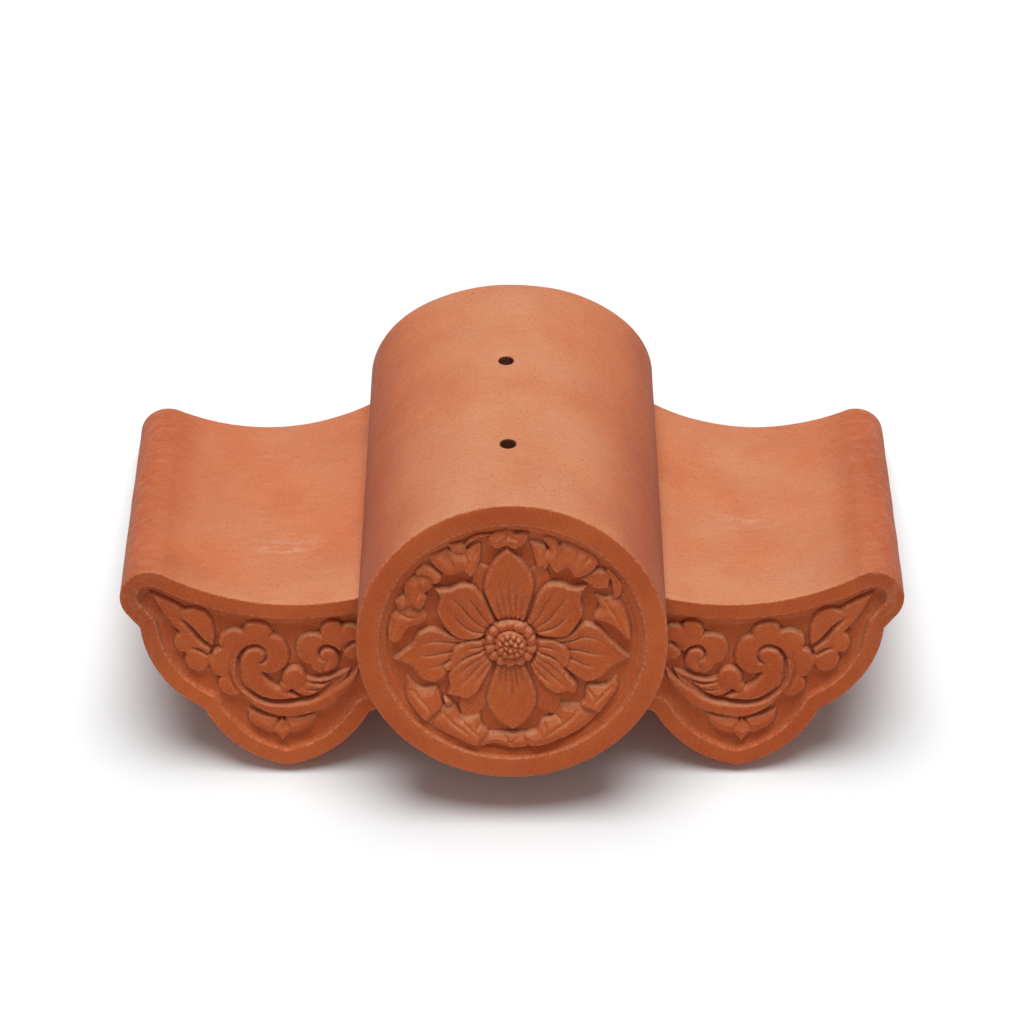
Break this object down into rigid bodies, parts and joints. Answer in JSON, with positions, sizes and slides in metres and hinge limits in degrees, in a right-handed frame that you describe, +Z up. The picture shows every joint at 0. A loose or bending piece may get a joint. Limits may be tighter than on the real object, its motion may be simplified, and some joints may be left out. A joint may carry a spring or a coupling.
{
  "type": "eaves tile set",
  "caption": "Half-round cap tile with a flower end disc, laid across two hollow drip tiles with lobed hanging faces in scroll relief, for a roof's eaves.",
  "frame": {"origin": "on the ground under the middle of the set's box", "axes": "+X across the eaves towards the right drip tile, -Y outward where the end disc faces, +Z up; the tiles slope down towards +Y"},
  "size_m": [0.3718, 0.2694, 0.1589],
  "materials": {
    "cap_terracotta": "unglazed fired red clay, matt",
    "left_drip_terracotta": "unglazed fired red clay, matt",
    "right_drip_terracotta": "unglazed fired red clay, matt"
  },
  "bodies": {
    "root": {"cap_tile": "cap_terracotta", "left_drip_tile": "left_drip_terracotta", "right_drip_tile": "right_drip_terracotta"}
  },
  "joints": []
}
